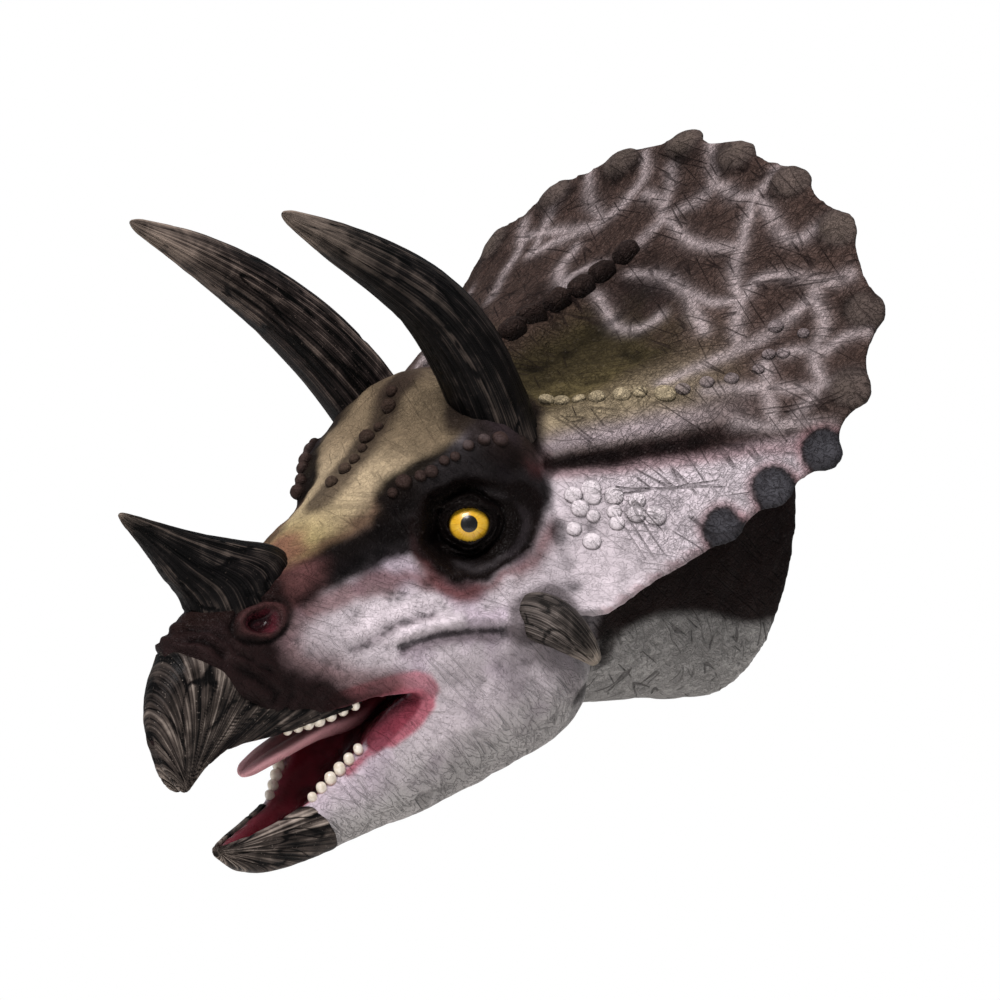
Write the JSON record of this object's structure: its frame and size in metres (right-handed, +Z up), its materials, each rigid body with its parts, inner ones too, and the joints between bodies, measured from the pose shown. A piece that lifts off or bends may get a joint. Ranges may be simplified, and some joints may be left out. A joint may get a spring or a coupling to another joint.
{
  "type": "triceratops wall head",
  "caption": "Painted cast head of a three-horned dinosaur with open mouth, scalloped frill and short neck, made to hang on a wall by the neck's flat back.",
  "frame": {"origin": "centre of the neck's flat oval back face, which lies on the wall", "axes": "+Z up the wall, +Y into the wall so that the head looks along -Y, +X to the animal's left; X = 0 is the mirror plane"},
  "size_m": [0.5162, 0.6034, 0.5626],
  "materials": {
    "painted_hide": "airbrushed paint on cast resin, satin",
    "painted_frill": "airbrushed brown patches with pale lines on cast resin, satin",
    "painted_neck": "airbrushed paint on cast resin, satin",
    "painted_horn": "dry-brushed dark paint on grooved cast resin",
    "painted_mouth": "gloss-varnished red paint",
    "glossy_eye": "polished inset eye"
  },
  "bodies": {
    "root": {"head": "painted_hide", "lower_jaw": "painted_hide", "neck": "painted_neck", "frill": "painted_frill", "upper_beak": "painted_horn", "lower_beak": "painted_horn", "nose_horn": "painted_horn", "brow_horn_left": "painted_horn", "brow_horn_right": "painted_horn", "cheek_horn_left": "painted_horn", "cheek_horn_right": "painted_horn", "tongue": "painted_mouth", "eye_left": "glossy_eye", "eye_right": "glossy_eye"}
  },
  "joints": []
}
